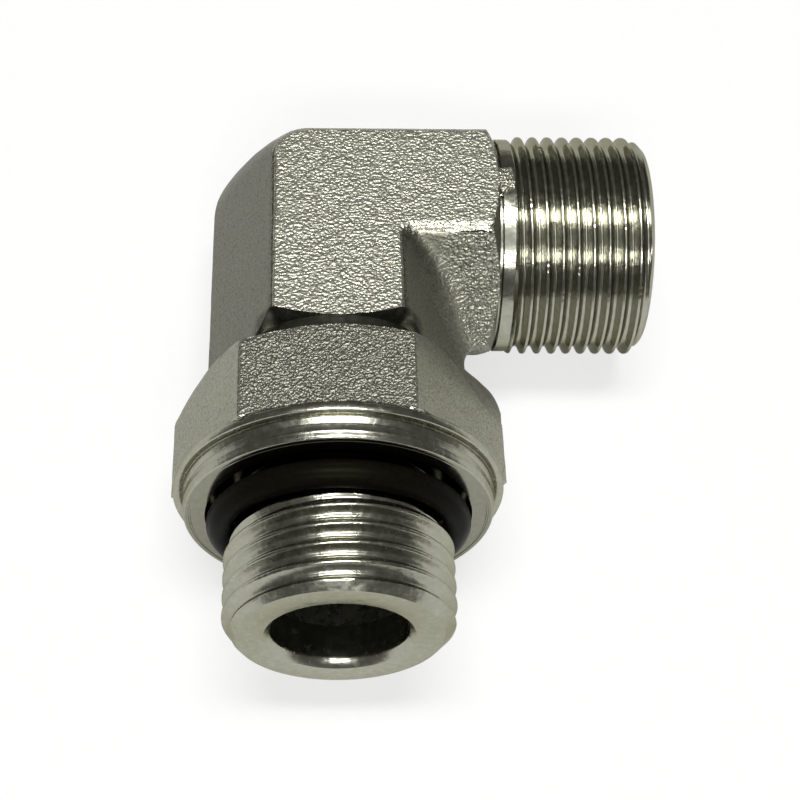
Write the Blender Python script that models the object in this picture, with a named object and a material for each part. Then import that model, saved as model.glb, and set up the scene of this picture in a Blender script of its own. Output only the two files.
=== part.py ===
"""Hydraulic elbow adapter: one forged body with two machined ends, and the seal ring on its stud."""

from math import ceil, cos, floor, pi, radians, sin, sqrt, tan

import bmesh
import bpy
from mathutils import Matrix, Vector

MM = 0.001

# Collar's seat, against the port. Reaches are measured from where the two bore axes cross.
SEAT_REACH = 31.6 * MM
SEAT_D = 28.4 * MM
SEAT_EDGE = 0.15 * MM

# Stud end, with G 1/2 pipe thread, 14 threads to the inch. The crest's place is measured from the
# end face in direction 0.
STUD_LENGTH = 11.86 * MM
STUD_THREAD_D = 20.8 * MM
STUD_THREAD_DEPTH = 1.08 * MM
STUD_PITCH = 1.814 * MM
STUD_CREST_SETBACK = 0.84 * MM
NECK_LENGTH = 3.0 * MM
STUD_CHAMFER = 1.18 * MM
STUD_BORE_D = 12.28 * MM
STUD_BORE_CHAMFER = 0.6 * MM
NECK_D = 18.3 * MM
NECK_RUNOUT = 0.7 * MM

# Turned collar, with the recess that holds the seal. Its rim stands back from the seat.
RECESS_D = 24.2 * MM
RECESS_DEPTH = 1.7 * MM
RIM_D = 30.4 * MM
RIM_SETBACK = 2.2 * MM
RIM_THICKNESS = 0.7 * MM
RIM_EDGE = 0.15 * MM

# Hexagon on the collar: 27 mm across flats, and a few degrees out of line with the arm
COLLAR_FLATS = 27.0 * MM
COLLAR_TURN = radians(-5.0)
COLLAR_FOOT_SETBACK = 4.07 * MM
COLLAR_FOOT_SLOPE = radians(28.0)
COLLAR_TOP_REACH = 19.4 * MM
COLLAR_TOP_SLOPE = radians(31.6)

# Forged elbow of hexagonal section
BLOCK_FLATS = 21.6 * MM
CORNER_BLUNT = 0.12 * MM
BLOCK_END = 15.65 * MM
BLOCK_CHAMFER_SLOPE = radians(30.0)
HEEL_RADIUS = 9.2 * MM
HEEL_SIDE_RADIUS = 3.0 * MM
CROTCH_RADIUS = 2.2 * MM
CROTCH_FACE_RADIUS = 3.2 * MM
CROTCH_SIDE_RADIUS = 1.0 * MM

# Pocket across the front and the back, between the elbow and the collar. Its floor is a turned neck
# that just touches the elbow's flats.
POCKET_REACH = 16.36 * MM
POCKET_NECK = 10.72 * MM
POCKET_FADE = radians(20.0)
SIDE_FOOT = 0.6 * MM

# Web that rounds off the collar under the arm, from the elbow out to the collar's corner
WEB_REACH = 16.9 * MM
WEB_SHOULDER_REACH = 22.2 * MM
WEB_HALF_ANGLE = radians(50.0)
WEB_FULL_ANGLE = radians(5.0)

# Arm end, with M22 x 1.5 thread around a 24 degree cone for 15 mm tube
ARM_REACH = 30.63 * MM
ARM_THREAD_D = 22.0 * MM
ARM_THREAD_DEPTH = 0.9 * MM
ARM_PITCH = 1.5 * MM
ARM_CREST_SETBACK = 1.22 * MM
ARM_THREAD_START = 17.1 * MM
ARM_CHAMFER = 1.0 * MM
ARM_RUNOUT = 0.25 * MM
ARM_NECK_D = 21.5 * MM
ARM_GROOVE_D = 20.4 * MM
ARM_GROOVE_WIDTH = 0.3 * MM
CONE_MOUTH_D = 17.0 * MM
CONE_HALF_ANGLE = radians(12.0)
TUBE_SOCKET_D = 15.1 * MM
TUBE_SOCKET_DEPTH = 7.0 * MM
ARM_BORE_D = 12.0 * MM

# Seal ring, of round section
SEAL_SECTION = 2.4 * MM
SEAL_GAP = 0.3 * MM

# Places that follow from the sizes above
STUD_REACH = SEAT_REACH + STUD_LENGTH
STUD_THREAD_END = SEAT_REACH + NECK_LENGTH
RECESS_FLOOR = SEAT_REACH - RECESS_DEPTH
RIM_LOW = SEAT_REACH - RIM_SETBACK
RIM_HIGH = RIM_LOW - RIM_THICKNESS
COLLAR_FOOT_REACH = SEAT_REACH - COLLAR_FOOT_SETBACK

# Fineness of the meshes
AROUND = 72
BORE_SIDES = 60
RING_SIDES = 60
RING_SECTION_SIDES = 12
BEND_STEPS = 8
SLOPE_STEPS = 5
CHAMFER_STEPS = 3
THREAD_ROWS = 2
MERGE_DISTANCE = 0.001 * MM
SHARP_ANGLE = radians(25.0)
DRILL_POINT = radians(59.0)
BORE_OVERLAP = 0.5 * MM


def clear_scene():
    for obj in list(bpy.data.objects):
        bpy.data.objects.remove(obj, do_unlink=True)


def make_material(name, colour, metallic, roughness):
    material = bpy.data.materials.new(name)
    material.use_nodes = True
    shader = material.node_tree.nodes["Principled BSDF"]
    shader.inputs["Base Color"].default_value = (*colour, 1.0)
    shader.inputs["Metallic"].default_value = metallic
    shader.inputs["Roughness"].default_value = roughness
    return material


def smooth_step(low, high, value):
    t = min(max((value - low) / (high - low), 0.0), 1.0)
    return t * t * (3.0 - 2.0 * t)


def mix(a, b, t):
    return a + (b - a) * t


def angle_apart(a, b):
    """Smallest angle between two directions."""
    return abs((a - b + pi) % (2.0 * pi) - pi)


def hexagon(angle, flats, turn=0.0):
    """Distance from the axis to a hexagon whose corners lie at turn, turn + 60 degrees and so on."""
    within = (angle - turn) % (pi / 3.0) - pi / 6.0
    corner = flats / sqrt(3.0)
    return min(flats / 2.0 / cos(within), corner - CORNER_BLUNT)


# Directions around the body. Angle 0 points along the arm, and 90 degrees points down.
STEP = 2.0 * pi / AROUND
COLLAR_PHASE = COLLAR_TURN - floor(COLLAR_TURN / STEP + 0.5) * STEP


def directions(phase=0.0):
    return [k * STEP + phase for k in range(AROUND)]


def block_radius(angle):
    return hexagon(angle, BLOCK_FLATS)


def collar_radius(angle):
    return hexagon(angle, COLLAR_FLATS, COLLAR_TURN)


def stud_point(angle, radius, reach):
    """A point around the stud's axis, which runs along -Y."""
    return Vector((radius * cos(angle), -reach, -radius * sin(angle)))


def arm_point(angle, radius, reach):
    """A point around the arm's axis, which runs along +X."""
    return Vector((reach, -radius * cos(angle), -radius * sin(angle)))


def stud_ring(diameter, reach):
    return [stud_point(angle, diameter / 2.0, reach) for angle in directions(COLLAR_PHASE)]


def arm_ring(diameter, reach):
    return [arm_point(angle, diameter / 2.0, reach) for angle in directions()]


def thread_rows(point, hand, diameter, pitch, depth, crest, low, high):
    """Rows along a thread's crests and roots in turn, from its low end to its high end.

    hand is 1 where the thread climbs with the angle, and -1 where it falls. low and high are (reach,
    diameter, run), and over the run the surface rises from that end to the full diameter.
    """
    spacing = pitch / THREAD_ROWS
    first = floor((low[0] - pitch - crest) / spacing)
    last = ceil((high[0] + pitch - crest) / spacing)
    rows = []
    for k in range(first, last + 1):
        row = []
        for angle in directions():
            reach = crest + k * spacing + hand * pitch * angle / (2.0 * pi)
            reach = min(max(reach, low[0]), high[0])
            low_radius = mix(low[1], diameter, (reach - low[0]) / low[2]) / 2.0
            high_radius = mix(high[1], diameter, (high[0] - reach) / high[2]) / 2.0
            cut = depth if k % THREAD_ROWS and low[0] < reach < high[0] else 0.0
            radius = min(low_radius, high_radius, diameter / 2.0 - cut)
            row.append(point(angle, radius, reach))
        rows.append(row)
    return rows


def pocket_share(angle):
    """1 across the front and back of the elbow, and 0 on its sides."""
    side = min(angle_apart(angle, pi / 2.0), angle_apart(angle, -pi / 2.0))
    return 1.0 - smooth_step(pi / 6.0, pi / 6.0 + POCKET_FADE, side)


def web_share(angle):
    """1 right under the arm, and 0 away from it."""
    return 1.0 - smooth_step(WEB_FULL_ANGLE, WEB_HALF_ANGLE, angle_apart(angle, 0.0))


def collar_top(angle, radius):
    """Reach of the collar's sloping top at a radius, and of the rounded web under the arm."""
    slope = COLLAR_TOP_REACH + (radius - COLLAR_FLATS / 2.0) * tan(COLLAR_TOP_SLOPE)
    inner = block_radius(angle)
    across = min(max((radius - inner) / (collar_radius(angle) - inner), 0.0), 1.0)
    shoulder = mix(WEB_SHOULDER_REACH, WEB_REACH, sqrt(1.0 - across ** 2))
    return mix(slope, shoulder, web_share(angle))


def bend_radius(offset):
    """Radius of the bend at an offset along the arm, from the heel (negative) to the crotch (positive)."""
    side = BLOCK_FLATS / sqrt(3.0) / 2.0
    corner = 2.0 * side
    if offset < -side:
        return mix(HEEL_SIDE_RADIUS, HEEL_RADIUS, min((-offset - side) / (corner - side), 1.0))
    if offset > side:
        across = min((offset - side) / (corner - side), 1.0)
        swell = CROTCH_FACE_RADIUS - (CROTCH_SIDE_RADIUS + CROTCH_RADIUS) / 2.0
        return mix(CROTCH_SIDE_RADIUS, CROTCH_RADIUS, across) + 4.0 * across * (1.0 - across) * swell
    return mix(HEEL_SIDE_RADIUS, CROTCH_SIDE_RADIUS, (offset + side) / (2.0 * side))


def bend_ring(step):
    """One ring of the elbow's bend, from the stud's leg (step 0) to the arm (the last step)."""
    ring = []
    turn = pi / 2.0 * step / BEND_STEPS
    for angle in directions():
        offset = block_radius(angle) * cos(angle)
        height = -block_radius(angle) * sin(angle)
        radius = bend_radius(offset)
        x = offset + radius - radius * cos(turn)
        y = -offset - radius + radius * sin(turn)
        ring.append(Vector((x, y, height)))
    return ring


def stud_thread_rows():
    """Thread rows from the stud's end face up to its neck."""
    low = (STUD_THREAD_END - NECK_RUNOUT, NECK_D, NECK_RUNOUT)
    high = (STUD_REACH, STUD_THREAD_D - 2.0 * STUD_CHAMFER, STUD_CHAMFER)
    crest = STUD_REACH - STUD_CREST_SETBACK
    rows = thread_rows(stud_point, -1, STUD_THREAD_D, STUD_PITCH, STUD_THREAD_DEPTH, crest, low, high)
    return rows[::-1]


def stud_side_rings():
    """Rings from the stud's neck up to the foot of the collar's hexagon."""
    return [
        stud_ring(NECK_D, RECESS_FLOOR),
        stud_ring(RECESS_D, RECESS_FLOOR),
        stud_ring(RECESS_D, SEAT_REACH),
        stud_ring(SEAT_D - 2.0 * SEAT_EDGE, SEAT_REACH),
        stud_ring(SEAT_D, SEAT_REACH - SEAT_EDGE),
        stud_ring(SEAT_D, RIM_LOW),
        stud_ring(RIM_D - 2.0 * RIM_EDGE, RIM_LOW),
        stud_ring(RIM_D, RIM_LOW - RIM_EDGE),
        stud_ring(RIM_D, RIM_HIGH),
    ]


def collar_rings():
    """Rings over the collar's hexagon and its sloping top, down into the pocket and up to the elbow."""
    angles = directions(COLLAR_PHASE)
    rings = []
    foot = []
    for angle in angles:
        radius = collar_radius(angle)
        reach = COLLAR_FOOT_REACH + (radius - COLLAR_FLATS / 2.0) * tan(COLLAR_FOOT_SLOPE)
        foot.append(stud_point(angle, radius, reach))
    rings.append(foot)
    for step in range(SLOPE_STEPS + 1):
        ring = []
        for angle in angles:
            inner = mix(block_radius(angle), POCKET_NECK, pocket_share(angle))
            radius = mix(collar_radius(angle), inner, step / SLOPE_STEPS)
            ring.append(stud_point(angle, radius, collar_top(angle, radius)))
        rings.append(ring)
    return rings


def block_chamfer(radius):
    """Reach of the chamfer that the turning left on the elbow's lower end."""
    return POCKET_REACH - (radius - BLOCK_FLATS / 2.0) * tan(BLOCK_CHAMFER_SLOPE)


def side_foot(angle):
    """Reach at which the elbow's flats end on the sides, just inside the collar's top."""
    radius = block_radius(angle)
    bend_start = radius * cos(angle) + bend_radius(radius * cos(angle))
    collar = collar_top(angle, radius)
    return max(collar - SIDE_FOOT, (bend_start + collar) / 2.0)


def elbow_foot_rings():
    """End of the pocket's neck, and the elbow's lower end: chamfered over the pocket, plain on the sides."""
    neck = []
    foot = []
    for angle in directions():
        share = pocket_share(angle)
        radius = block_radius(angle)
        plain = side_foot(angle)
        half_way = (plain + collar_top(angle, radius)) / 2.0
        neck_reach = mix(half_way, block_chamfer(POCKET_NECK), share)
        neck.append(stud_point(angle, mix(radius, POCKET_NECK, share), neck_reach))
        foot.append(stud_point(angle, radius, mix(plain, block_chamfer(radius), share)))
    return [neck, foot]


def arm_block_rings():
    """The elbow's end under the arm thread, with its corners turned off at 30 degrees."""
    corner = BLOCK_FLATS / sqrt(3.0)
    least = BLOCK_FLATS / 2.0
    rings = []
    for step in range(CHAMFER_STEPS + 1):
        limit = mix(corner, least, step / CHAMFER_STEPS)
        reach = BLOCK_END - (limit - least) * tan(BLOCK_CHAMFER_SLOPE)
        rings.append([arm_point(a, min(block_radius(a), limit), reach) for a in directions()])
    return rings


def arm_side_rings():
    """Rings of the groove and the neck beside the elbow."""
    groove_end = BLOCK_END + ARM_GROOVE_WIDTH
    return [
        arm_ring(ARM_GROOVE_D, BLOCK_END),
        arm_ring(ARM_GROOVE_D, groove_end),
        arm_ring(ARM_NECK_D, groove_end),
    ]


def arm_thread_rows():
    """Thread rows from the arm's neck to its end face."""
    low = (ARM_THREAD_START, ARM_NECK_D, ARM_RUNOUT)
    high = (ARM_REACH, ARM_THREAD_D - 2.0 * ARM_CHAMFER, ARM_CHAMFER)
    crest = ARM_REACH - ARM_CREST_SETBACK
    return thread_rows(arm_point, 1, ARM_THREAD_D, ARM_PITCH, ARM_THREAD_DEPTH, crest, low, high)


def skin(*sections):
    """A closed mesh over sections of rings with equally many points, capped at both ends.

    Each section is (rings, turn). After a time around, its rings go on turn rings further: 0 closes
    each ring, and more winds them as a helix, whose first and last rings are clipped flat.
    """
    bm = bmesh.new()
    rows = []
    for rings, turn in sections:
        first = len(rows)
        rows += [[bm.verts.new(point) for point in ring] for ring in rings]
        for k in range(max(first - 1, 0), len(rows) - 1):
            low, high = rows[k], rows[k + 1]
            for here, there in zip(range(len(low) - 1), range(1, len(low))):
                bm.faces.new((low[here], low[there], high[there], high[here]))
            onward = turn if k >= first else 0
            if k + 1 + onward < len(rows):
                bm.faces.new((low[-1], rows[k + onward][0], rows[k + 1 + onward][0], high[-1]))
    bm.faces.new(rows[0][::-1])
    bm.faces.new(rows[-1])
    bmesh.ops.remove_doubles(bm, verts=bm.verts, dist=MERGE_DISTANCE)
    bmesh.ops.recalc_face_normals(bm, faces=bm.faces)
    return bm


def mesh_object(name, bm, material=None):
    mesh = bpy.data.meshes.new(name)
    bm.to_mesh(mesh)
    bm.free()
    obj = bpy.data.objects.new(name, mesh)
    bpy.context.collection.objects.link(obj)
    if material is not None:
        mesh.materials.append(material)
    return obj


def turned_cutter(name, profile, point):
    """A cutter turned around a bore's axis. The profile lists (diameter, reach) from the mouth inwards."""
    rings = []
    for diameter, reach in profile:
        angles = [2.0 * pi * k / BORE_SIDES for k in range(BORE_SIDES)]
        rings.append([point(angle, diameter / 2.0, reach) for angle in angles])
    bm = skin((rings, 0))
    cutter = mesh_object(name, bm)
    cutter.hide_render = True
    cutter.display_type = "WIRE"
    return cutter


def stud_bore_cutter():
    """Drilled from the stud's end to just past the arm's bore, with the drill's point."""
    depth = -ARM_BORE_D / 2.0
    point_reach = depth - (STUD_BORE_D / 2.0 - BORE_OVERLAP) / tan(DRILL_POINT)
    mouth = STUD_BORE_D + 2.0 * STUD_BORE_CHAMFER
    profile = [
        (mouth + 2.0 * BORE_OVERLAP, STUD_REACH + BORE_OVERLAP),
        (STUD_BORE_D, STUD_REACH - STUD_BORE_CHAMFER),
        (STUD_BORE_D, depth + BORE_OVERLAP),
        (2.0 * BORE_OVERLAP, point_reach + BORE_OVERLAP),
    ]
    return turned_cutter("stud_bore_cutter", profile, stud_point)


def arm_bore_cutter():
    """The 24 degree cone, the tube's socket and the bore, which ends inside the stud's bore."""
    cone_depth = (CONE_MOUTH_D - TUBE_SOCKET_D) / 2.0 / tan(CONE_HALF_ANGLE)
    overshoot = 2.0 * BORE_OVERLAP * tan(CONE_HALF_ANGLE)
    profile = [
        (CONE_MOUTH_D + overshoot, ARM_REACH + BORE_OVERLAP),
        (TUBE_SOCKET_D, ARM_REACH - cone_depth),
        (TUBE_SOCKET_D, ARM_REACH - TUBE_SOCKET_DEPTH),
        (ARM_BORE_D, ARM_REACH - TUBE_SOCKET_DEPTH),
        (ARM_BORE_D, 0.0),
    ]
    return turned_cutter("arm_bore_cutter", profile, arm_point)


def cut_away(obj, cutter):
    boolean = obj.modifiers.new(cutter.name, "BOOLEAN")
    boolean.operation = "DIFFERENCE"
    boolean.solver = "EXACT"
    boolean.object = cutter


def shade_round(obj):
    obj.data.shade_smooth()
    obj.data.set_sharp_from_angle(angle=SHARP_ANGLE)


def make_elbow_body(material):
    bends = [bend_ring(step) for step in range(BEND_STEPS + 1)]
    rings = stud_side_rings() + collar_rings() + elbow_foot_rings() + bends
    rings += arm_block_rings() + arm_side_rings()
    bm = skin((stud_thread_rows(), THREAD_ROWS), (rings, 0), (arm_thread_rows(), THREAD_ROWS))
    body = mesh_object("elbow_body", bm, material)
    shade_round(body)
    cutters = [stud_bore_cutter(), arm_bore_cutter()]
    for cutter in cutters:
        cut_away(body, cutter)
    return body, cutters


def make_seal_ring(material):
    """Rubber ring in the collar's recess, clear of its floor, its wall and the stud's neck."""
    centre_radius = NECK_D / 2.0 + SEAL_GAP + SEAL_SECTION / 2.0
    centre_reach = RECESS_FLOOR + SEAL_GAP + SEAL_SECTION / 2.0
    bm = bmesh.new()
    rows = []
    for k in range(RING_SIDES):
        angle = 2.0 * pi * k / RING_SIDES
        row = []
        for j in range(RING_SECTION_SIDES):
            around = 2.0 * pi * j / RING_SECTION_SIDES
            radius = centre_radius + SEAL_SECTION / 2.0 * cos(around)
            reach = centre_reach + SEAL_SECTION / 2.0 * sin(around)
            row.append(bm.verts.new(stud_point(angle, radius, reach)))
        rows.append(row)
    for k in range(RING_SIDES):
        low, high = rows[k], rows[(k + 1) % RING_SIDES]
        for j in range(RING_SECTION_SIDES):
            following = (j + 1) % RING_SECTION_SIDES
            bm.faces.new((low[j], low[following], high[following], high[j]))
    bmesh.ops.recalc_face_normals(bm, faces=bm.faces)
    ring = mesh_object("seal_ring", bm, material)
    shade_round(ring)
    return ring


def lay_down(body, others):
    """Move everything so that the body lies over the origin, with its lowest point on the ground."""
    points = [vertex.co for vertex in body.data.vertices]
    low = Vector([min(p[axis] for p in points) for axis in range(3)])
    high = Vector([max(p[axis] for p in points) for axis in range(3)])
    shift = Vector((-(low.x + high.x) / 2.0, -(low.y + high.y) / 2.0, -low.z))
    for obj in [body] + others:
        obj.data.transform(Matrix.Translation(shift))


def main():
    clear_scene()
    steel = make_material("plated_steel", (0.42, 0.42, 0.36), 1.0, 0.38)
    rubber = make_material("black_rubber", (0.012, 0.012, 0.010), 0.0, 0.45)
    body, cutters = make_elbow_body(steel)
    ring = make_seal_ring(rubber)
    lay_down(body, cutters + [ring])


main()
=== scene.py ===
"""Visual model of the hydraulic elbow adapter: fine skins with real threads, materials and studio."""

from math import atan2, cos, pi, radians, sin, sqrt, tan

import bmesh
import bpy
import numpy as np
from mathutils import Matrix, Vector, noise


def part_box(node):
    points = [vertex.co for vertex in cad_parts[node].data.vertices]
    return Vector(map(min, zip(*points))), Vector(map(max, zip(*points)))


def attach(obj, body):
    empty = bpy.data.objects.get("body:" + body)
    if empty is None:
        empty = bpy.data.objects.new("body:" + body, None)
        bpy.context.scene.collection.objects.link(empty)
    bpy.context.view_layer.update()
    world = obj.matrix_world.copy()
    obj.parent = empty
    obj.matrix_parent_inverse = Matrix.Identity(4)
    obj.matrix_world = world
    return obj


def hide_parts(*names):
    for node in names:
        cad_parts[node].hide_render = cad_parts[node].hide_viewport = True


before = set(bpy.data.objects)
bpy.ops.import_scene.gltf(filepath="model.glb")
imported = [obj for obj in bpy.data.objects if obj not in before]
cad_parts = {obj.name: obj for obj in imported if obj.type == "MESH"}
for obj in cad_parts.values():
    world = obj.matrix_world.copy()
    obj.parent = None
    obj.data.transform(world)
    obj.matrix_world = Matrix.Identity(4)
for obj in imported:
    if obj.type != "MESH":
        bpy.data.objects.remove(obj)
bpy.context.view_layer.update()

# Sizes in millimetres, as in the solids but for the roundings. Reaches run from where the bore axes cross.
SEAT_REACH = 31.6
SEAT_R = 14.2
RECESS_R = 12.1
RECESS_FLOOR = 29.9
RIM_R = 15.2
RIM_LOW = 29.4
RIM_HIGH = 28.7
STUD_REACH = 43.46
STUD_R = 10.42
STUD_START = 33.9
STUD_NECK_R = 9.15
STUD_CHAMFER = 1.18
STUD_BORE_R = 6.14
BORE_CHAMFER = 0.6
COLLAR_FLATS = 27.0
COLLAR_TURN = radians(-5.0)
COLLAR_FOOT = 27.53
FOOT_SLOPE = tan(radians(28.0))
COLLAR_TOP = 19.4
COLLAR_SLOPE = tan(radians(31.6))
COLLAR_EDGE = 0.22
WEB_OUTER = 22.2
WEB_INNER = 16.9
POCKET_NECK_R = 10.72
POCKET_FOOT = 16.36
BLOCK_FLATS = 21.6
BLOCK_CORNER = BLOCK_FLATS / sqrt(3.0)
BLOCK_END = 15.65
BLOCK_CHAMFER = tan(radians(30.0))
STUD_RIDGE_R = 1.1
ARM_RIDGE_R = 1.8
ARM_REACH = 30.63
ARM_R = 11.0
ARM_START = 17.1
ARM_CHAMFER = 1.0
ARM_NECK_R = 10.75
ARM_GROOVE_R = 10.2
ARM_GROOVE_END = 15.95
CONE_MOUTH_R = 8.5
SOCKET_R = 7.55
SOCKET_DEPTH = 7.0
ARM_BORE_R = 6.0

# The seal lies further out than in the solids, and a little askew, as in the photograph.
SEAL_R = 1.26
SEAL_RING_R = 10.80
SEAL_REACH = 32.48
SEAL_LEAN = 0.68

# Threads. A crest passes through crest_reach at crest_angle, and hand is the way it climbs.
ARM_THREAD = {"major": ARM_R, "pitch": 1.5, "depth": 0.78, "crest": 0.075, "crest_reach": 18.30,
              "crest_angle": radians(213.4), "hand": 1.0, "seed": 1.3}
STUD_THREAD = {"major": STUD_R, "pitch": 1.8143, "depth": 0.86, "crest": 0.07, "crest_reach": 35.82,
               "crest_angle": radians(270.0), "hand": -1.0, "seed": 4.7}
NICK = 0.035
THREAD_AROUND = 420
PHASES = np.array([0.0, 0.05, 0.085, 0.11, 0.15, 0.21, 0.27, 0.33, 0.38, 0.42, 0.46, 0.5,
                   0.54, 0.58, 0.62, 0.67, 0.73, 0.79, 0.85, 0.89, 0.915, 0.95])

# The bend's radius, from the heel's ridge over the outer and inner ridges to the crotch
HEEL_BEND = 9.2
HEEL_SAG = 1.1
OUTER_BEND = 3.6
INNER_BEND = 1.0
CROTCH_BEND = 2.2
CROTCH_SWELL = 1.6

low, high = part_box("elbow_body")
CROSSING = Vector((high.x * 1000.0 - ARM_REACH, low.y * 1000.0 + STUD_REACH, (low.z + high.z) * 500.0))


def smooth_step(a, b, value):
    t = np.clip((value - a) / (b - a), 0.0, 1.0)
    return t * t * (3.0 - 2.0 * t)


def mix(a, b, t):
    return a + (b - a) * t


def hump(t):
    """0 at both ends and 1 in the middle."""
    return 4.0 * t * (1.0 - t)


def stud_point(angle, radius, reach):
    """Points around the stud's axis: angle 0 towards the arm, 90 degrees down."""
    return np.stack(np.broadcast_arrays(radius * np.cos(angle), -reach, -radius * np.sin(angle)), -1)


def arm_point(angle, radius, reach):
    """Points around the arm's axis: angle 0 towards the stud, 90 degrees down."""
    return np.stack(np.broadcast_arrays(reach, -radius * np.cos(angle), -radius * np.sin(angle)), -1)


def grid_faces(rows, columns, shift=0, flip=False, offset=0):
    """Quads over a closed grid. The last column joins the first, shift rows further on."""
    faces = []
    for r in range(rows - 1):
        here, above = r * columns + offset, (r + 1) * columns + offset
        for c in range(columns):
            if c < columns - 1:
                quad = (here + c, here + c + 1, above + c + 1, above + c)
            elif 0 <= r + shift < rows - 1:
                turned = shift * columns
                quad = (here + c, here + turned, above + turned, above + c)
            else:
                continue
            faces.append(quad[::-1] if flip else quad)
    return faces


def place_piece(obj, nodes):
    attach(obj, "root")
    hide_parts(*nodes)


def add_object(name, points, faces, material, sharp=30.0, nodes=("elbow_body",), others=None):
    """A mesh object from points in millimetres around the crossing of the axes."""
    mesh = bpy.data.meshes.new(name)
    placed = (points.reshape(-1, 3) + np.array(CROSSING)) * 0.001
    mesh.from_pydata(placed.tolist(), [], faces)
    mesh.materials.append(material)
    if others is not None:
        for other in others[0]:
            mesh.materials.append(other)
        mesh.polygons.foreach_set("material_index", others[1])
    bm = bmesh.new()
    bm.from_mesh(mesh)
    bmesh.ops.remove_doubles(bm, verts=bm.verts, dist=1e-6)
    bm.to_mesh(mesh)
    bm.free()
    mesh.validate()
    mesh.update()
    obj = bpy.data.objects.new(name, mesh)
    bpy.context.scene.collection.objects.link(obj)
    mesh.shade_smooth()
    mesh.set_sharp_from_angle(angle=radians(sharp))
    place_piece(obj, nodes)


# Materials
class Graph:
    """Short names for the nodes of one material or world."""

    def __init__(self, tree):
        self.tree = tree

    def new(self, kind):
        return self.tree.nodes.new("ShaderNode" + kind)

    def feed(self, socket, value):
        """Links an output to a socket, or sets the socket to a plain value."""
        if isinstance(value, bpy.types.NodeSocket):
            self.tree.links.new(value, socket)
        else:
            socket.default_value = value

    def fill(self, node, **values):
        for name, value in values.items():
            self.feed(node.inputs[name], value)

    def maths(self, operation, a, b=0.0):
        node = self.new("Math")
        node.operation = operation
        self.feed(node.inputs[0], a)
        self.feed(node.inputs[1], b)
        return node.outputs[0]

    def times(self, first, *factors):
        for factor in factors:
            first = self.maths("MULTIPLY", first, factor)
        return first

    def plus(self, first, *terms):
        for term in terms:
            first = self.maths("ADD", first, term)
        return first

    def remap(self, value, low_in, high_in, low_out=0.0, high_out=1.0):
        node = self.new("MapRange")
        for index, number in enumerate((value, low_in, high_in, low_out, high_out)):
            self.feed(node.inputs[index], number)
        return node.outputs[0]

    def fade(self, share, end):
        """1 where the share is 0, and end where it is 1."""
        return self.remap(share, 0.0, 1.0, 1.0, end)

    def noise(self, vector, scale, detail, roughness, output="Fac"):
        node = self.new("TexNoise")
        self.fill(node, Vector=vector, Scale=scale, Detail=detail, Roughness=roughness)
        return node.outputs[output]

    def cells(self, vector, scale, smoothness):
        node = self.new("TexVoronoi")
        node.feature = "SMOOTH_F1"
        self.fill(node, Vector=vector, Scale=scale, Smoothness=smoothness)
        return node.outputs["Distance"]

    def ramp(self, value, *stops):
        node = self.new("ValToRGB")
        elements = node.color_ramp.elements
        while len(elements) < len(stops):
            elements.new(0.5)
        for element, (position, colour) in zip(elements, stops):
            element.position = position
            element.color = (*colour, 1.0)
        self.feed(node.inputs["Fac"], value)
        return node.outputs["Color"]

    def blend(self, share, first, second):
        node = self.new("Mix")
        node.data_type = "RGBA"
        for index, value in ((0, share), (6, first), (7, second)):
            self.feed(node.inputs[index], value)
        return node.outputs[2]

    def vector(self, operation, first, second):
        node = self.new("VectorMath")
        node.operation = operation
        self.feed(node.inputs[0], first)
        self.feed(node.inputs["Scale" if operation == "SCALE" else 1], second)
        return node.outputs[0]

    def split(self, vector):
        node = self.new("SeparateXYZ")
        self.feed(node.inputs[0], vector)
        return node.outputs

    def bump(self, height, distance, strength=1.0, normal=None):
        node = self.new("Bump")
        self.fill(node, Height=height, Distance=distance, Strength=strength)
        if normal is not None:
            self.feed(node.inputs["Normal"], normal)
        return node.outputs["Normal"]

    def coordinates(self, kind="Object"):
        return self.new("TexCoord").outputs[kind]

    def from_crossing(self, vector):
        """Coordinates in metres from the crossing of the bore axes, split into X, Y and Z."""
        return self.split(self.vector("SUBTRACT", vector, CROSSING * 0.001))

    def seen(self, by_camera, in_mirrors):
        """Shares for the rays that show the pale backdrop: the camera's own, and reflected ones."""
        rays = self.new("LightPath").outputs
        mirrored = self.maths("MAXIMUM", rays["Is Glossy Ray"], rays["Is Transmission Ray"])
        return self.maths("MAXIMUM", self.times(rays["Is Camera Ray"], by_camera),
                          self.times(mirrored, in_mirrors))


def new_surface(name, metallic=1.0):
    material = bpy.data.materials.new(name)
    material.use_nodes = True
    shader = material.node_tree.nodes["Principled BSDF"].inputs
    shader["Metallic"].default_value = metallic
    return material, Graph(material.node_tree), shader


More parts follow.
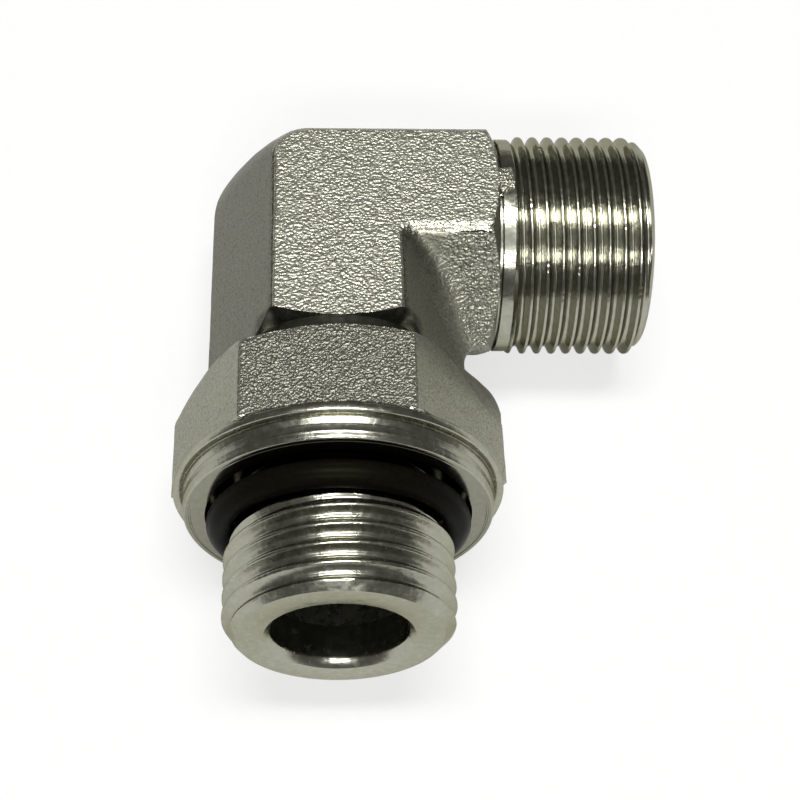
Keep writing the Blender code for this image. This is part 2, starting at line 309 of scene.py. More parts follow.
def forged_steel():
    """Shot-blasted and plated forging: dimples and grains that flash where they face a lamp.

    The flats at the front and back and under the arm are dimpled, more finely on the collar.
    The faces that the forging die left at a slant are smoother and darker, with a few specks.
    """
    material, graph, shader = new_surface("forged_plated_steel")
    at = graph.coordinates()
    place = graph.from_crossing(at)
    facing = graph.split(graph.coordinates("Normal"))
    upright = graph.maths("ABSOLUTE", facing[2])
    raised = graph.maths("ABSOLUTE", place[2])
    reach = graph.times(place[1], -1000.0)

    front = graph.remap(upright, 0.90, 0.985)
    under_arm = graph.times(graph.remap(facing[1], -0.7, -0.5, 1.0, 0.0),
                            graph.remap(place[0], 0.0095, 0.0125),
                            graph.remap(upright, 0.7, 0.84, 1.0, 0.0))
    dimpled = graph.maths("MAXIMUM", front, under_arm)
    slanting = graph.fade(dimpled, 0.0)
    collar = graph.remap(reach, 18.6, 19.6)
    elbow = graph.maths("SUBTRACT", 1.0, collar)
    # Masks for painted shade in the colour: the heel, the arm's side and the pocket
    heel = graph.times(graph.remap(facing[0], -0.75, -0.5, 1.0, 0.0), elbow)
    arm_side = graph.times(graph.remap(facing[0], 0.3, 0.55), slanting)
    pocket = graph.times(graph.remap(raised, 0.0080, 0.0088), graph.remap(raised, 0.01058, 0.01070, 1.0, 0.0),
                         graph.remap(reach, 15.0, 15.6), graph.remap(reach, 19.3, 20.3, 1.0, 0.0))
    ridge = graph.times(graph.remap(upright, 0.62, 0.75), graph.remap(upright, 0.93, 0.99, 1.0, 0.0))

    warp = graph.vector("MULTIPLY", graph.noise(at, 1800.0, 1.0, 0.5, "Color"), (0.00035, 0.00035, 0.00035))
    bent = graph.vector("ADD", at, warp)
    long_cells = graph.cells(graph.vector("MULTIPLY", bent, (0.85, 1.1, 1.0)), 3700.0, 0.7)
    small_cells = graph.cells(bent, 4300.0, 0.45)
    fine = graph.noise(at, 5600.0, 2.0, 0.5)
    wide = graph.noise(at, 1100.0, 2.0, 0.5)
    elbow_height = graph.plus(long_cells, graph.times(wide, 0.5), graph.times(fine, 0.18))
    collar_height = graph.plus(small_cells, graph.times(fine, 0.35))
    height = graph.plus(graph.times(elbow_height, elbow), graph.times(collar_height, collar))
    relief = graph.plus(graph.remap(dimpled, 0.0, 1.0, 0.22, 1.0), graph.times(under_arm, 0.95))
    graph.feed(shader["Normal"], graph.bump(graph.times(height, relief), 0.00013))

    blasted = graph.ramp(graph.noise(at, 900.0, 4.0, 0.6),
                         (0.3, (0.42, 0.42, 0.345)), (0.7, (0.52, 0.52, 0.435)))
    slanted = graph.ramp(graph.noise(at, 4200.0, 2.0, 0.6),
                         (0.26, (0.10, 0.10, 0.075)), (0.38, (0.255, 0.255, 0.20)),
                         (0.5, (0.30, 0.30, 0.24)), (0.68, (0.36, 0.36, 0.295)))
    # Painted shade and light in the colour: darker on the heel, on the collar's front and back faces, under
    # the arm and in the pocket; on the arm's side darker towards the crotch and lighter further out
    arm_side_painted_shade_and_light = graph.plus(graph.times(arm_side, graph.remap(reach, 21.0, 23.0, -0.2, 0.14)), 1.0)
    shade = graph.times(graph.fade(heel, 0.61), graph.fade(graph.times(collar, front), 0.54),
                        graph.fade(under_arm, 0.66), arm_side_painted_shade_and_light, graph.fade(pocket, 0.45))
    graph.feed(shader["Base Color"], graph.vector("SCALE", graph.blend(slanting, blasted, slanted), shade))

    rough = graph.plus(graph.remap(fine, 0.3, 0.7, -0.05, 0.05), graph.remap(dimpled, 0.0, 1.0, 0.52, 0.46),
                       graph.times(ridge, -0.24))
    graph.feed(shader["Roughness"], rough)
    return material


def flash_steel():
    """Torn and blasted flash: rough grains all over."""
    material, graph, shader = new_surface("flash_plated_steel")
    at = graph.coordinates()
    fine = graph.noise(at, 5600.0, 3.0, 0.6)
    graph.feed(shader["Base Color"], graph.ramp(fine, (0.3, (0.36, 0.36, 0.29)), (0.7, (0.47, 0.47, 0.39))))
    graph.feed(shader["Roughness"], graph.remap(fine, 0.3, 0.7, 0.32, 0.42))
    graph.feed(shader["Normal"], graph.bump(graph.cells(at, 3800.0, 0.4), 0.00014))
    return material


def turned_steel(name, axis, light=1.0, wave=0.00005, rough=(0.19, 0.29), ring_height=0.0000022,
                 face_rings=True):
    """Plated steel straight from the lathe: fine rings around the axis and a soft mottle.

    With face_rings the rings also run over end faces; without, they are wider and only run along a bore.
    """
    material, graph, shader = new_surface(name)
    at = graph.coordinates()
    place = graph.from_crossing(at)
    a, b = [place[k] for k in range(3) if k != axis]
    rings = graph.new("CombineXYZ")
    graph.feed(rings.inputs[0], place[axis])
    if face_rings:
        graph.feed(rings.inputs[1], graph.maths("SQRT", graph.plus(graph.times(a, a), graph.times(b, b))))
    turning = graph.noise(rings.outputs[0], 9000.0 if face_rings else 2600.0, 3.0, 0.6)
    waves = graph.noise(at, 700.0, 2.0, 0.5)
    mottle = graph.noise(at, 1500.0, 4.0, 0.6)
    # The light factor scales the colour: below 1 it is painted shade, above 1 painted light
    dark, pale = (0.33 * light, 0.33 * light, 0.272 * light), (0.41 * light, 0.41 * light, 0.345 * light)
    graph.feed(shader["Base Color"], graph.ramp(mottle, (0.3, dark), (0.7, pale)))
    graph.feed(shader["Roughness"], graph.remap(mottle, 0.3, 0.7, *rough))
    graph.feed(shader["Normal"], graph.bump(turning, ring_height, normal=graph.bump(waves, wave)))
    shader["Specular Tint"].default_value = (0.50, 0.50, 0.42, 1.0)
    return material


def seal_rubber():
    material, graph, shader = new_surface("seal_rubber", 0.0)
    at = graph.coordinates()
    dust = graph.noise(at, 2500.0, 4.0, 0.65)
    black = graph.ramp(dust, (0.35, (0.0030, 0.0028, 0.0018)), (0.75, (0.0055, 0.0050, 0.0034)))
    graph.feed(shader["Base Color"], black)
    graph.feed(shader["Roughness"], graph.remap(graph.noise(at, 300.0, 2.0, 0.5), 0.3, 0.7, 0.32, 0.42))
    graph.feed(shader["Normal"], graph.bump(dust, 0.000006))
    shader["Specular IOR Level"].default_value = 0.027
    shader["Specular Tint"].default_value = (1.0, 1.0, 0.6, 1.0)
    return material


X_AXIS, Y_AXIS = 0, 1
FORGED = forged_steel()
FLASH = flash_steel()
TURNED_STUD = turned_steel("turned_steel_stud", Y_AXIS)
TURNED_ARM = turned_steel("turned_steel_arm", X_AXIS, rough=(0.16, 0.25))
# Turned steel of the pocket, darkened: painted shade in the recess
TURNED_POCKET_PAINTED_SHADE = turned_steel("turned_steel_pocket_painted_shade", Y_AXIS, 0.38, 0.00001, (0.26, 0.34))
# Turned steel of the seat, darkened: painted shade and painted dark reflection
TURNED_SEAT_PAINTED_SHADE = turned_steel("turned_steel_seat_painted_shade", Y_AXIS, 0.70, 0.000006, (0.11, 0.17), 0.000001)
# Turned steel of the recess and neck, near black: painted shade and painted reflection of the black seal
TURNED_NECK_PAINTED_SHADE = turned_steel("turned_steel_neck_painted_shade", Y_AXIS, 0.14, 0.000006, (0.12, 0.18), 0.000001)
# Turned steel of the bores, lightened: painted light inside the shaded bore
TURNED_BORE_PAINTED_LIGHT = turned_steel("turned_steel_bore_painted_light", Y_AXIS, 1.25, 0.000004, (0.24, 0.34), 0.00003, False)
RUBBER = seal_rubber()

# Directions around the forging, closer together at the hexagon's corners
PER_SIDE = 60
AROUND = 6 * PER_SIDE
side_step = np.arange(PER_SIDE) / PER_SIDE * 2.0 - 1.0
side_angle = radians(30.0) * (0.5 * side_step + 0.5 * np.sin(side_step * pi / 2.0))
BLOCK_ANGLES = np.concatenate([side_angle + radians(30.0 + 60.0 * k) for k in range(6)])
COLLAR_ANGLES = BLOCK_ANGLES + COLLAR_TURN


def hexagon(angle, flats, turn, rounding):
    """Distance from the axis to a hexagon with rounded corners."""
    apothem = flats / 2.0
    within = np.abs((angle - turn) % (pi / 3.0) - pi / 6.0)
    centre = (apothem - rounding) / cos(pi / 6.0)
    tangent = np.arctan((apothem - rounding) * tan(pi / 6.0) / apothem)
    beta = pi / 6.0 - within
    inside = np.maximum(rounding ** 2 - (centre * np.sin(beta)) ** 2, 0.0)
    rounded = centre * np.cos(beta) + np.sqrt(inside)
    return np.where(within <= tangent, apothem / np.cos(within), rounded)


def block_radius(angle, inner=STUD_RIDGE_R):
    """The elbow's section: sharp at heel and crotch, rounder along the ridges, most on the inner ones."""
    corner = np.round(angle / (pi / 3.0)) % 6
    ridge = np.where((corner == 1) | (corner == 5), inner, 0.9)
    return hexagon(angle, BLOCK_FLATS, 0.0, np.where(corner % 3 == 0, 0.35, ridge))


def collar_radius(angle):
    return hexagon(angle, COLLAR_FLATS, COLLAR_TURN, 0.3)


def angle_apart(a, b):
    return np.abs((a - b + pi) % (2.0 * pi) - pi)


def pocket_share(angle):
    """1 across the front and the back, where the pocket is, and 0 at the heel and under the arm."""
    side = np.minimum(angle_apart(angle, pi / 2.0), angle_apart(angle, -pi / 2.0))
    return 1.0 - smooth_step(pi / 6.0, pi / 6.0 + radians(20.0), side)


def web_share(angle):
    """1 under the arm, where the collar's top swells into a web."""
    return 1.0 - smooth_step(radians(5.0), radians(50.0), angle_apart(angle, 0.0))


def collar_top(angle, radius):
    slope = COLLAR_TOP + (radius - COLLAR_FLATS / 2.0) * COLLAR_SLOPE
    inner = block_radius(angle)
    across = np.clip((radius - inner) / (collar_radius(angle) - inner), 0.0, 1.0)
    shoulder = mix(WEB_OUTER, WEB_INNER, np.sqrt(1.0 - across ** 2))
    return mix(slope, shoulder, web_share(angle))


def bend_radius(offset):
    """Radius of the bend for a point of the section, offset from the axis towards the crotch."""
    side = BLOCK_CORNER / 2.0
    outward = np.clip((-offset - side) / side, 0.0, 1.0)
    heel = mix(OUTER_BEND, HEEL_BEND, outward) - HEEL_SAG * hump(outward)
    across = np.clip((offset - side) / side, 0.0, 1.0)
    crotch = mix(INNER_BEND, CROTCH_BEND, across) + CROTCH_SWELL * hump(across)
    middle = mix(OUTER_BEND, INNER_BEND, (offset + side) / (2.0 * side))
    return np.where(offset < -side, heel, np.where(offset > side, crotch, middle))


def bend_ring(turn):
    radius = block_radius(BLOCK_ANGLES, mix(STUD_RIDGE_R, ARM_RIDGE_R, turn / (pi / 2.0)))
    offset = radius * np.cos(BLOCK_ANGLES)
    height = -radius * np.sin(BLOCK_ANGLES)
    bend = bend_radius(offset)
    return np.stack([offset + bend - bend * cos(turn), -offset - bend + bend * sin(turn), height], -1)


def between(first, last, count):
    """Rings evenly between two others, both left out."""
    return [mix(first, last, (k + 1) / (count + 1)) for k in range(count)]


# Forging: from the foot of the collar's hexagon to the end of the block
def foot_reach(radius):
    return COLLAR_FOOT + (radius - COLLAR_FLATS / 2.0) * FOOT_SLOPE


def foot_ring():
    radius = collar_radius(COLLAR_ANGLES)
    return stud_point(COLLAR_ANGLES, radius, foot_reach(radius))


def collar_forging_rings():
    """Rings up the flats of the collar's hexagon and over its edge, and then up its sloping top."""
    radius = collar_radius(COLLAR_ANGLES)
    reach = collar_top(COLLAR_ANGLES, radius)
    foot = foot_ring()
    top = stud_point(COLLAR_ANGLES, radius, reach + COLLAR_EDGE)
    edge = stud_point(COLLAR_ANGLES, radius - 0.29 * COLLAR_EDGE, reach + 0.29 * COLLAR_EDGE)
    inner = mix(block_radius(COLLAR_ANGLES), POCKET_NECK_R, pocket_share(COLLAR_ANGLES))
    slope = []
    for share in [0.02] + [0.06 + 0.94 * k / 22.0 for k in range(23)]:
        at = mix(radius, inner, share)
        slope.append(stud_point(COLLAR_ANGLES, at, collar_top(COLLAR_ANGLES, at)))
    return [foot] + between(foot, top, 26) + [top, edge], slope


def pocket_edges():
    """The rings where the pocket's neck ends, and where the chamfer above it meets the block."""
    block = block_radius(BLOCK_ANGLES)
    offset = block * np.cos(BLOCK_ANGLES)
    collar = collar_top(BLOCK_ANGLES, block)
    plain = np.maximum(collar - 0.6, (offset + bend_radius(offset) + collar) / 2.0)
    chamfered = POCKET_FOOT - (block - BLOCK_FLATS / 2.0) * BLOCK_CHAMFER
    neck_end = POCKET_FOOT - (POCKET_NECK_R - BLOCK_FLATS / 2.0) * BLOCK_CHAMFER
    share = pocket_share(BLOCK_ANGLES)
    neck = stud_point(BLOCK_ANGLES, mix(block, POCKET_NECK_R, share),
                      mix((plain + collar) / 2.0, neck_end, share))
    return neck, stud_point(BLOCK_ANGLES, block, mix(plain, chamfered, share))


def block_end_rings():
    """Chamfer that cuts the corners off the block's end, and its end face."""
    block = block_radius(BLOCK_ANGLES, ARM_RIDGE_R)
    rings = []
    for step in range(7):
        limit = mix(BLOCK_CORNER - 0.1, BLOCK_FLATS / 2.0 + 0.02, step / 6.0)
        end = BLOCK_END - (limit - BLOCK_FLATS / 2.0) * BLOCK_CHAMFER
        rings.append(arm_point(BLOCK_ANGLES, np.minimum(block, limit), end))
    return rings + [arm_point(BLOCK_ANGLES, ARM_GROOVE_R, BLOCK_END)]


def forging_rings():
    """All rings of the forging, and the rows that hold the pocket."""
    rings, slope = collar_forging_rings()
    pocket_start = len(rings)
    neck, foot = pocket_edges()
    rings += slope + between(slope[-1], neck, 8) + [neck] + between(neck, foot, 6)
    pocket_rows = range(pocket_start, len(rings))
    rings += [foot] + between(foot, bend_ring(0.0), 16)
    rings += [bend_ring(pi / 2.0 * k / 40.0) for k in range(41)]
    end = block_end_rings()
    return rings + between(rings[-1], end[0], 16) + end, pocket_rows


def ripple(rings, amount, size):
    """Moves the points of the rings inwards by smooth noise, but not at either end."""
    grid = np.stack(rings)
    rows, columns = grid.shape[:2]
    along = np.gradient(grid, axis=0)
    around = np.roll(grid, -1, 1) - np.roll(grid, 1, 1)
    normal = np.cross(around, along)
    normal /= np.maximum(np.linalg.norm(normal, axis=-1, keepdims=True), 1e-9)
    values = np.array([noise.noise(Vector(p) / size) + 0.5 * noise.noise(Vector(p) / size * 2.3)
                       for p in grid.reshape(-1, 3)])
    fade = np.ones((rows, 1))
    fade[:3, 0] = (0.0, 0.3, 0.7)
    fade[-3:, 0] = (0.6, 0.2, 0.0)
    inward = -np.abs(values.reshape(rows, columns)) * amount * fade
    return grid + normal * inward[..., None]


def make_forging():
    rings, pocket_rows = forging_rings()
    faces = grid_faces(len(rings), AROUND)
    # The pocket's faces get the darkened turned steel: painted shade
    inside = pocket_share(BLOCK_ANGLES) > 0.25
    turned = [int(k // AROUND in pocket_rows and inside[k % AROUND]) for k in range(len(faces))]
    add_object("elbow_forging", ripple(rings, 0.05, 2.6), faces, FORGED, 32.0,
               others=([TURNED_POCKET_PAINTED_SHADE], turned))


# Threads
def thread_depth(phase, crest, depth):
    """Depth below the crest at a share of the pitch from the crest's middle: a rounded groove."""
    blend, full = 0.04, 0.9608
    off = np.abs((phase + 0.5) % 1.0 - 0.5)
    t = np.clip((off - crest) / (0.5 - crest), 0.0, 1.0)
    groove = 1.0 - (1.0 - t) ** 2.2
    return depth * (np.sqrt(groove ** 2 + blend ** 2) - blend) / full


def burr(angle, reach, seed):
    """Small nicks and burrs along the crests, from a few sine waves that never fall in step."""
    a = np.sin(41.0 * angle + 3.1 * reach + seed) * np.sin(67.3 * angle - 1.7 * reach + 2.0 * seed)
    b = np.sin(9.2 * angle + 2.3 * reach + 3.0 * seed) * np.sin(5.1 * angle - 3.9 * reach + seed)
    return np.maximum(a, 0.0) * smooth_step(0.1, 0.8, b)


def helix_grid(thread, start, end):
    """Angles and reaches of a thread's grid. Each row keeps one place on the thread's profile."""
    pitch = thread["pitch"]
    turns = int((end - start) / pitch) + 5
    places = np.array([whole + phase for whole in range(turns) for phase in PHASES] + [turns])
    angles = np.arange(THREAD_AROUND) / THREAD_AROUND * 2.0 * pi
    lead = thread["hand"] * (angles - thread["crest_angle"]) / (2.0 * pi) * pitch
    reach = (thread["crest_reach"] + pitch * (places - 3.0))[:, None] + lead[None, :]
    return angles[None, :], np.clip(reach, start - 0.1, end)


def thread_radius(thread, angle, reach):
    """Radius of a thread that runs on without end, with its nicks."""
    major, pitch = thread["major"], thread["pitch"]
    lead = thread["hand"] * (angle - thread["crest_angle"]) / (2.0 * pi) * pitch
    phase = (reach - thread["crest_reach"] - lead) / pitch
    radius = major - thread_depth(phase, thread["crest"], thread["depth"])
    nicks = NICK * burr(angle, reach, thread["seed"])
    return radius - nicks * smooth_step(major - 0.25, major - 0.02, radius)


def arm_thread_radius(angle, reach):
    """The arm's thread, which runs out into the neck and ends in a chamfer."""
    radius = mix(ARM_NECK_R, thread_radius(ARM_THREAD, angle, reach),
                 smooth_step(ARM_START - 0.1, ARM_START + 0.7, reach))
    return np.minimum(radius, ARM_R - ARM_CHAMFER + (ARM_REACH - reach))


def stud_thread_radius(angle, reach):
    """The stud's thread, which starts at its neck and ends in a chamfer."""
    end = STUD_R - STUD_CHAMFER + (STUD_REACH - reach)
    start = np.maximum(STUD_NECK_R + (reach - STUD_START), STUD_NECK_R)
    return np.minimum(thread_radius(STUD_THREAD, angle, reach), np.minimum(end, start))


def make_arm():
    """Groove, neck, thread, end face, cone and socket, from the block outwards and back in."""
    cone = (CONE_MOUTH_R - SOCKET_R) / tan(radians(12.0))
    socket = ARM_REACH - SOCKET_DEPTH
    before = [(ARM_GROOVE_R - 0.4, BLOCK_END - 0.3), (ARM_GROOVE_R, BLOCK_END - 0.02),
              (ARM_GROOVE_R, ARM_GROOVE_END - 0.03), (ARM_GROOVE_R + 0.05, ARM_GROOVE_END),
              (ARM_NECK_R - 0.06, ARM_GROOVE_END), (ARM_NECK_R, ARM_GROOVE_END + 0.06),
              (ARM_NECK_R, ARM_GROOVE_END + 0.4), (ARM_NECK_R, ARM_GROOVE_END + 0.8),
              (ARM_NECK_R, ARM_START - 0.1)]
    inner = [(ARM_R - ARM_CHAMFER, ARM_REACH), (CONE_MOUTH_R + 0.12, ARM_REACH)]
    inner += [(mix(CONE_MOUTH_R, SOCKET_R, k / 8.0), ARM_REACH - mix(0.1, cone, k / 8.0)) for k in range(9)]
    inner += [(SOCKET_R, socket + 0.8), (SOCKET_R, socket + 0.1), (SOCKET_R - 0.1, socket),
              (ARM_BORE_R + 0.1, socket), (ARM_BORE_R, socket - 0.1), (ARM_BORE_R, socket - 2.0)]
    angles, reach = helix_grid(ARM_THREAD, ARM_START, ARM_REACH)
    thread = arm_point(angles, arm_thread_radius(angles, reach), reach)
    faces = grid_faces(len(before), THREAD_AROUND)
    faces += grid_faces(len(thread), THREAD_AROUND, len(PHASES), offset=len(before) * THREAD_AROUND)
    faces += grid_faces(len(inner), THREAD_AROUND, offset=(len(before) + len(thread)) * THREAD_AROUND)
    points = np.concatenate([arm_point(angles, r, x) for r, x in before] + [thread]
                            + [arm_point(angles, r, x) for r, x in inner])
    add_object("arm_thread_end", points, faces, TURNED_ARM, 38.0)


def make_flash():
    """Ragged flash from the forging that was left standing over the groove and the arm's neck."""
    rows, columns = 40, 48
    points = np.zeros((rows, columns, 3))
    for r in range(rows):
        for c in range(columns):
            u, v = r / (rows - 1.0) * 2.0 - 1.0, c / (columns - 1.0) * 2.0 - 1.0
            seed = Vector((u * 2.2, v * 2.6, 3.7))
            edge = 1.0 - (abs(u) ** 2.5 + abs(v) ** 2.5) + 0.45 * noise.noise(seed)
            lump = noise.noise(seed * 2.4) + 0.6 * noise.noise(seed * 5.1)
            radius = (ARM_NECK_R - 0.35 + 0.5 * float(smooth_step(-0.1, 0.45, edge))
                      + 0.16 * lump * max(edge, 0.0))
            points[r, c] = arm_point(radians(-89.0 + 9.5 * v), radius, 16.35 + 0.95 * u)
    faces = [(r * columns + c, (r + 1) * columns + c, (r + 1) * columns + c + 1, r * columns + c + 1)
             for r in range(rows - 1) for c in range(columns - 1)]
    add_object("neck_flash", points, faces, FLASH, 60.0)


# The collar's turned side as radius and reach: rim and shoulder, then seat, then recess and neck
SHOULDER = [(RIM_R - 0.02, RIM_HIGH + 0.04), (RIM_R, RIM_HIGH + 0.12), (RIM_R, RIM_LOW - 0.10),
            (RIM_R - 0.05, RIM_LOW), (RIM_R - 0.13, RIM_LOW + 0.04), (14.52, RIM_LOW + 0.03),
            (14.42, RIM_LOW - 0.03), (14.385, RIM_LOW), (14.38, 29.62)]
SHOULDER += [(mix(14.375, 14.2, k / 4.0), mix(29.65, 30.12, k / 4.0)) for k in range(5)]
SHOULDER += [(14.16, 30.15), (14.16, 30.22), (14.222, 30.27), (SEAT_R, 30.42), (SEAT_R - 0.01, 30.70),
             (14.19, 30.78), (14.235, 30.84), (14.235, 30.93), (14.20, 31.02), (14.18, 31.08),
             (14.175, 31.35), (14.14, 31.45), (14.10, 31.52), (14.04, 31.58)]
SEAT = [(13.97, SEAT_REACH), (13.68, SEAT_REACH), (13.66, SEAT_REACH - 0.05), (13.52, SEAT_REACH - 0.05),
        (13.46, SEAT_REACH)]
RECESS = [(RECESS_R + 0.1, SEAT_REACH), (RECESS_R, SEAT_REACH - 0.1), (RECESS_R, RECESS_FLOOR + 0.15),
          (RECESS_R - 0.15, RECESS_FLOOR), (STUD_NECK_R + 0.2, RECESS_FLOOR),
          (STUD_NECK_R, RECESS_FLOOR + 0.2), (STUD_NECK_R, 31.5), (STUD_NECK_R, STUD_START - 0.1)]


def make_collar():
    """Turned side of the collar: flare under the hexagon, rim, shoulder, seat, recess and neck."""
    angles = COLLAR_ANGLES
    radius = collar_radius(angles)
    rings = [foot_ring()]
    for share in (0.15, 0.35, 0.6, 0.8, 0.93):
        reach = mix(foot_reach(radius), RIM_HIGH + 0.02, share ** 0.75)
        rings.append(stud_point(angles, mix(radius, RIM_R, share), reach))
    rings += [stud_point(angles, r, y) for r, y in SHOULDER + SEAT + RECESS]
    faces = grid_faces(len(rings), AROUND, flip=True)
    recess_row = len(rings) - len(RECESS)
    seat_row = recess_row - len(SEAT)
    # The seat rows get steel with painted shade, the recess and neck rows near-black steel with painted shade
    kinds = [int(k // AROUND >= seat_row) + int(k // AROUND >= recess_row) for k in range(len(faces))]
    add_object("collar_turned_side", np.concatenate(rings), faces, TURNED_STUD, 32.0,
               others=([TURNED_SEAT_PAINTED_SHADE, TURNED_NECK_PAINTED_SHADE], kinds))


def make_stud():
    """Thread, end face and the mouth of the bore."""
    mouth = STUD_BORE_R + BORE_CHAMFER
    inner = [(STUD_R - STUD_CHAMFER, STUD_REACH), (mouth + 0.05, STUD_REACH),
             (mouth - 0.04, STUD_REACH - 0.05), (STUD_BORE_R + 0.05, STUD_REACH - BORE_CHAMFER + 0.03),
             (STUD_BORE_R, STUD_REACH - BORE_CHAMFER - 0.06)]
    inner += [(STUD_BORE_R, STUD_REACH - 1.0 - k) for k in range(4)]
    angles, reach = helix_grid(STUD_THREAD, STUD_START, STUD_REACH)
    thread = stud_point(angles, stud_thread_radius(angles, reach), reach)
    faces = grid_faces(len(thread), THREAD_AROUND, -len(PHASES), True)
    faces += grid_faces(len(inner), THREAD_AROUND, flip=True, offset=len(thread) * THREAD_AROUND)
    points = np.concatenate([thread] + [stud_point(angles, r, y) for r, y in inner])
    add_object("stud_thread_end", points, faces, TURNED_STUD, 38.0)


def revolved(name, profile, point, sides):
    """A closed solid turned around a bore's axis, with its normals outwards."""
    angles = np.arange(sides) / sides * 2.0 * pi
    points = np.concatenate([point(angles, radius, reach) for radius, reach in profile])
    faces = grid_faces(len(profile), sides)
    faces += [tuple(range(sides)), tuple(range((len(profile) - 1) * sides, len(profile) * sides))]
    bm = bmesh.new()
    for place in (points + np.array(CROSSING)) * 0.001:
        bm.verts.new(place)
    bm.verts.ensure_lookup_table()
    for face in faces:
        bm.faces.new([bm.verts[v] for v in face])
    bmesh.ops.recalc_face_normals(bm, faces=bm.faces)
    mesh = bpy.data.meshes.new(name)
    bm.to_mesh(mesh)
    bm.free()
    obj = bpy.data.objects.new(name, mesh)
    bpy.context.scene.collection.objects.link(obj)
    return obj


def make_bores():
    """Walls of the two bores, which meet inside the elbow: the outside of their union, turned inwards."""
    stud_mouth = STUD_REACH - 4.0
    arm_mouth = ARM_REACH - SOCKET_DEPTH - 2.0
    behind, point_r = -5.5, 0.5
    drill = (STUD_BORE_R - point_r) / tan(radians(59.0))
    stud = revolved("stud_bore_form", [(STUD_BORE_R, stud_mouth), (STUD_BORE_R, behind),
                                       (point_r, behind - drill)], stud_point, 96)
    arm = revolved("arm_bore_form", [(ARM_BORE_R, 0.0), (ARM_BORE_R, arm_mouth)], arm_point, 96)
    union = stud.modifiers.new("union", "BOOLEAN")
    union.operation = "UNION"
    union.solver = "EXACT"
    union.object = arm
    graph = bpy.context.evaluated_depsgraph_get()
    joined = bpy.data.meshes.new_from_object(stud.evaluated_get(graph))
    bpy.data.objects.remove(stud, do_unlink=True)
    bpy.data.objects.remove(arm, do_unlink=True)
    bm = bmesh.new()
    bm.from_mesh(joined)
    stud_end = (CROSSING.y - stud_mouth) * 0.001
    arm_end = (CROSSING.x + arm_mouth) * 0.001
    centres = [(face, face.calc_center_median()) for face in bm.faces]
    caps = [face for face, centre in centres
            if abs(centre.y - stud_end) < 1e-6 or abs(centre.x - arm_end) < 1e-6]
    bmesh.ops.delete(bm, geom=caps, context="FACES")
    bmesh.ops.reverse_faces(bm, faces=bm.faces)
    mesh = bpy.data.meshes.new("bore_walls")
    bm.to_mesh(mesh)
    bm.free()
    obj = bpy.data.objects.new("bore_walls", mesh)
    bpy.context.scene.collection.objects.link(obj)
    mesh.materials.append(TURNED_BORE_PAINTED_LIGHT)
    mesh.shade_smooth()
    mesh.set_sharp_from_angle(angle=radians(30.0))
    place_piece(obj, ("elbow_body",))


def make_seal():
    """Rubber ring of round section. It lies a little askew, further from the collar on its upper side."""
    around, section = 240, 40
    angles = (np.arange(around) / around * 2.0 * pi)[None, :]
    turn = (np.arange(section) / section * 2.0 * pi)[:, None]
    swell = SEAL_R + 0.01 * np.sin(3.0 * angles + 1.0)
    reach = SEAL_REACH - SEAL_LEAN * np.sin(angles) + swell * np.sin(turn)
    points = stud_point(angles, SEAL_RING_R + swell * np.cos(turn), reach)
    faces = []
    for r in range(section):
        for c in range(around):
            a, b = (r + 1) % section, (c + 1) % around
            faces.append((r * around + c, r * around + b, a * around + b, a * around + c))
    add_object("seal_rubber_ring", points, faces, RUBBER, 60.0, ("seal_ring",))


# Studio
def make_floor():
    """White paper that the adapter rests on, on the rim of its collar and the edge of its elbow."""
    material, graph, shader = new_surface("floor_paper", 0.0)
    fibre = graph.noise(graph.coordinates(), 900.0, 4.0, 0.6)
    graph.feed(shader["Base Color"], graph.ramp(fibre, (0.3, (0.76, 0.76, 0.75)), (0.7, (0.79, 0.79, 0.78))))
    graph.feed(shader["Normal"], graph.bump(fibre, 0.00002, 0.5))
    shader["Roughness"].default_value = 0.9
    shader["Specular IOR Level"].default_value = 0.1
    blend = graph.new("MixShader")
    graph.feed(blend.inputs[0], graph.seen(0.7, 0.08))
    graph.feed(blend.inputs[1], graph.tree.nodes["Principled BSDF"].outputs[0])
    graph.feed(blend.inputs[2], graph.new("Emission").outputs[0])
    graph.feed(graph.tree.nodes["Material Output"].inputs["Surface"], blend.outputs[0])
    mesh = bpy.data.meshes.new("floor")
    half = 6.0
    corners = [(-half, -half, 0), (half, -half, 0), (half, half, 0), (-half, half, 0)]
    mesh.from_pydata(corners, [], [(0, 1, 2, 3)])
    mesh.materials.append(material)
    floor = bpy.data.objects.new("floor", mesh)
    bpy.context.scene.collection.objects.link(floor)
    rim = Vector((0.0, (CROSSING.y - RIM_HIGH) * 0.001, 0.0))
    edge = Vector((0.0, (CROSSING.y + BLOCK_CORNER / 2.0) * 0.001, (CROSSING.z - BLOCK_FLATS / 2.0) * 0.001))
    floor.rotation_euler = (atan2(edge.z - rim.z, edge.y - rim.y), 0.0, 0.0)
    floor.location = rim - Vector((0.0, 0.0, 0.00003))


def make_world():
    """A dim room above a pale horizon, with the pale backdrop that the camera sees."""
    world = bpy.data.worlds.new("studio")
    bpy.context.scene.world = world
    world.use_nodes = True
    graph = Graph(world.node_tree)
    place = graph.split(graph.coordinates("Generated"))
    room = graph.ramp(graph.remap(place[2], 0.08, 0.30),
                      (0.0, (0.135, 0.135, 0.125)), (1.0, (0.060, 0.060, 0.050)))
    horizon = graph.times(graph.remap(place[1], 0.0, 0.4), graph.remap(place[2], 0.14, 0.17, 1.0, 0.0))
    around = graph.blend(horizon, room, (0.62, 0.62, 0.61, 1.0))
    background = graph.tree.nodes["Background"]
    colour = graph.blend(graph.seen(0.97, 0.05), around, (0.98, 0.98, 0.97, 1.0))
    graph.feed(background.inputs["Color"], colour)
    background.inputs["Strength"].default_value = 1.0


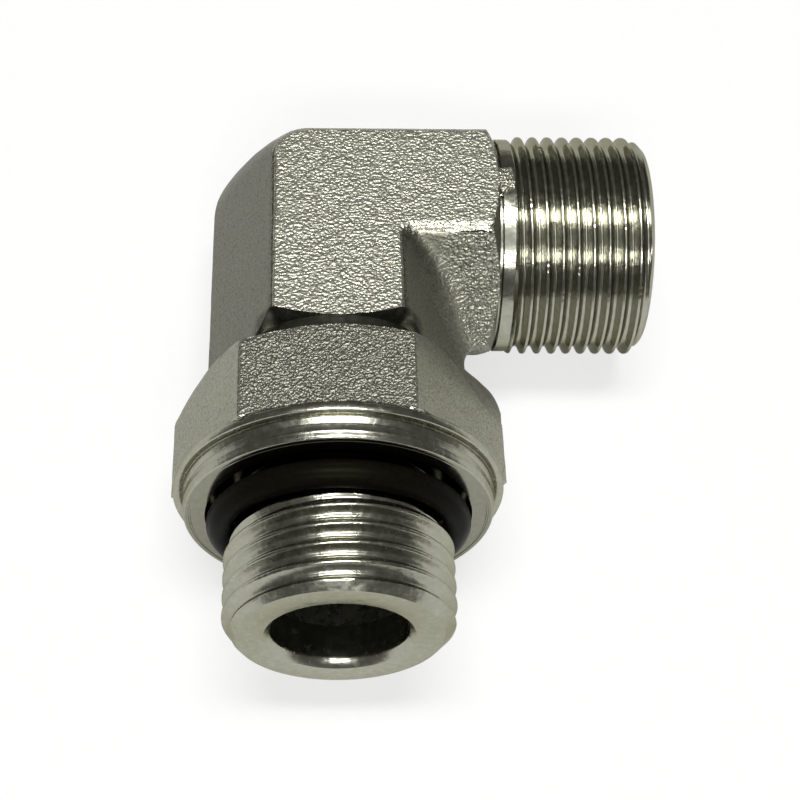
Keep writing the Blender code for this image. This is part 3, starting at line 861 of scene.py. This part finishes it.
def make_lamp(name, elevation, distance, size_x, size_y, radiance):
    """A soft box on the camera's side, towards -Y, that faces the adapter."""
    light = bpy.data.lights.new(name, "AREA")
    light.shape = "RECTANGLE"
    light.size, light.size_y = size_x, size_y
    light.energy = radiance * pi * size_x * size_y
    lamp = bpy.data.objects.new(name, light)
    bpy.context.scene.collection.objects.link(lamp)
    direction = Vector((0.0, -cos(elevation), sin(elevation)))
    lamp.location = CROSSING * 0.001 + direction * distance
    lamp.rotation_mode = "QUATERNION"
    lamp.rotation_quaternion = direction.to_track_quat("Z", "Y")


def make_camera():
    """The pinhole camera that was fitted to the photograph's outlines, with its principal point."""
    yaw, pitch, roll = radians(2.494), radians(33.343), radians(-1.269)
    frame_px, focal_px, centre_px = 800.0, 1666.618, (364.935, 382.867)
    forward = Vector((sin(yaw) * cos(pitch), sin(pitch), -cos(yaw) * cos(pitch)))
    right = Vector((cos(yaw), 0.0, sin(yaw)))
    up = right.cross(forward)
    turned_right = cos(roll) * right + sin(roll) * up
    turned_up = -sin(roll) * right + cos(roll) * up
    data = bpy.data.cameras.new("camera")
    data.sensor_width = 36.0
    data.lens = data.sensor_width * focal_px / frame_px
    data.shift_x = (frame_px / 2.0 - centre_px[0]) / frame_px
    data.shift_y = (centre_px[1] - frame_px / 2.0) / frame_px
    data.clip_start, data.clip_end = 0.01, 20.0
    camera = bpy.data.objects.new("camera", data)
    bpy.context.scene.collection.objects.link(camera)
    place = (CROSSING + Vector((-3.149, -105.003, 133.957))) * 0.001
    axes = Matrix((turned_right, turned_up, -forward)).transposed().to_4x4()
    camera.matrix_world = Matrix.Translation(place) @ axes
    bpy.context.scene.camera = camera


make_forging()
make_arm()
make_flash()
make_collar()
make_stud()
make_bores()
make_seal()
make_floor()
make_world()
make_lamp("overhead_lamp", radians(85.5), 1.2, 0.62, 0.22, 32.0)
make_lamp("front_lamp", radians(40.4), 1.2, 0.52, 0.12, 28.0)
make_lamp("fill_lamp", radians(63.0), 1.3, 0.62, 0.75, 0.7)
make_camera()
bpy.context.scene.view_settings.view_transform = "Standard"
